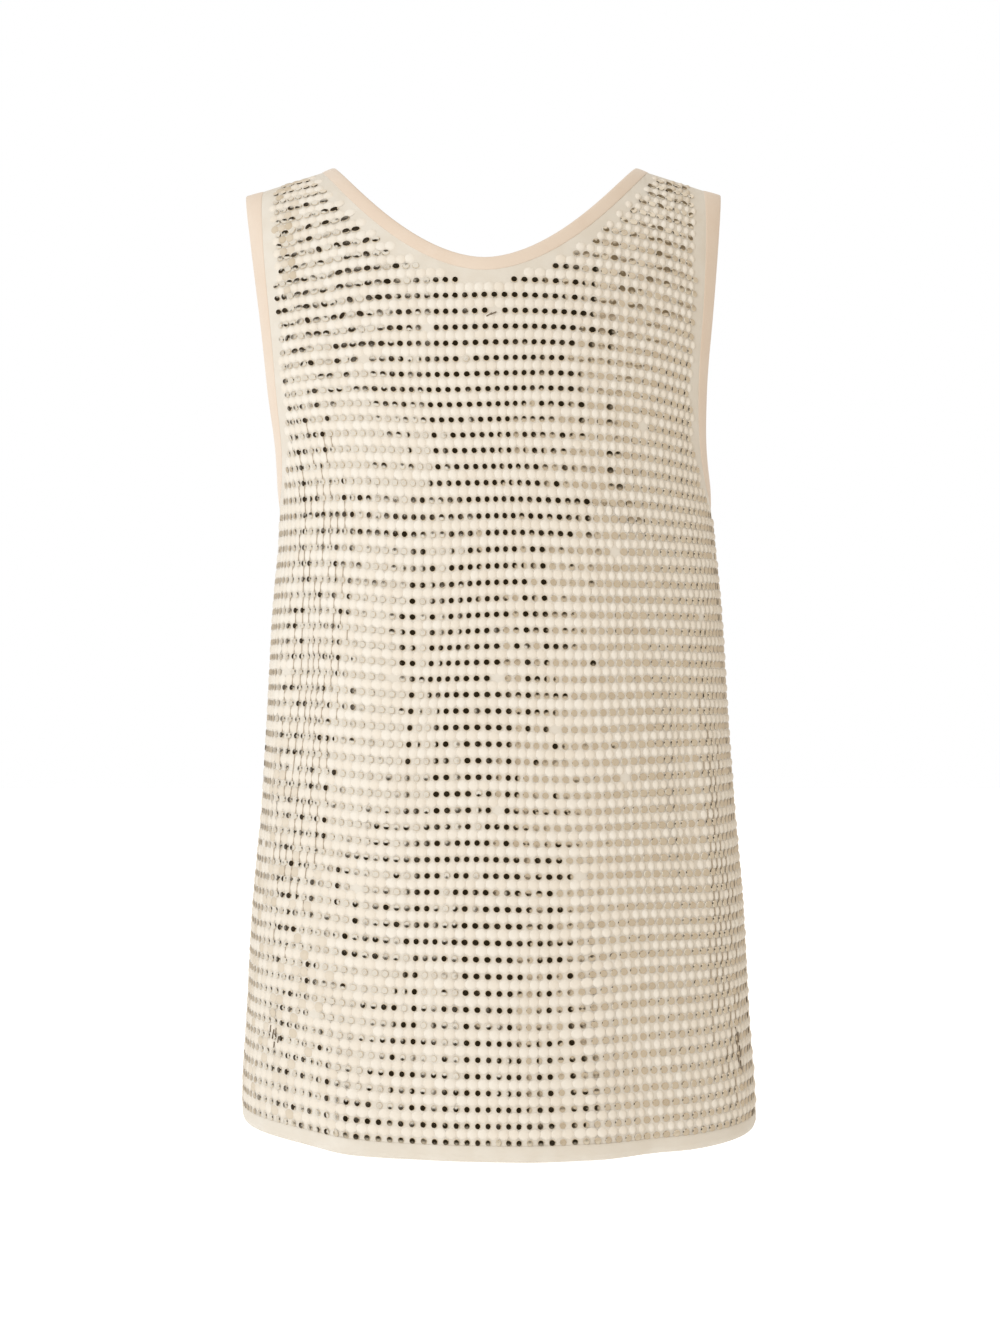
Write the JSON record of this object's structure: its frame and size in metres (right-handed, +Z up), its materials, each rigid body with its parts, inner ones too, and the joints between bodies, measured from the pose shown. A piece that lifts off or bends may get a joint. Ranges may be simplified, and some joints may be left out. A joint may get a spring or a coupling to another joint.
{
  "type": "tank top",
  "caption": "Hip-length sleeveless tank top with a round neck and wide straps, in cream cloth covered with overlapping round paillettes and small mirror discs, in its hollow worn shape.",
  "frame": {"origin": "midway between the two shoulder straps, at the height where they rest on the wearer's shoulders", "axes": "+Z up along the body, -Y out of the back of the top, which is the side in the picture, +X to the wearer's right"},
  "size_m": [0.3288, 0.2603, 0.6128],
  "materials": {
    "embroidered_cloth": "cream cloth covered with satin paillettes",
    "binding": "matt peach bias binding",
    "paillettes": "satin cream, slightly domed",
    "mirror_discs": "polished pale gold",
    "thread": "cream sewing thread"
  },
  "bodies": {
    "root": {"back_panel": "embroidered_cloth", "front_panel": "embroidered_cloth", "neck_binding": "binding", "armhole_binding_left": "binding", "armhole_binding_right": "binding"}
  },
  "joints": []
}
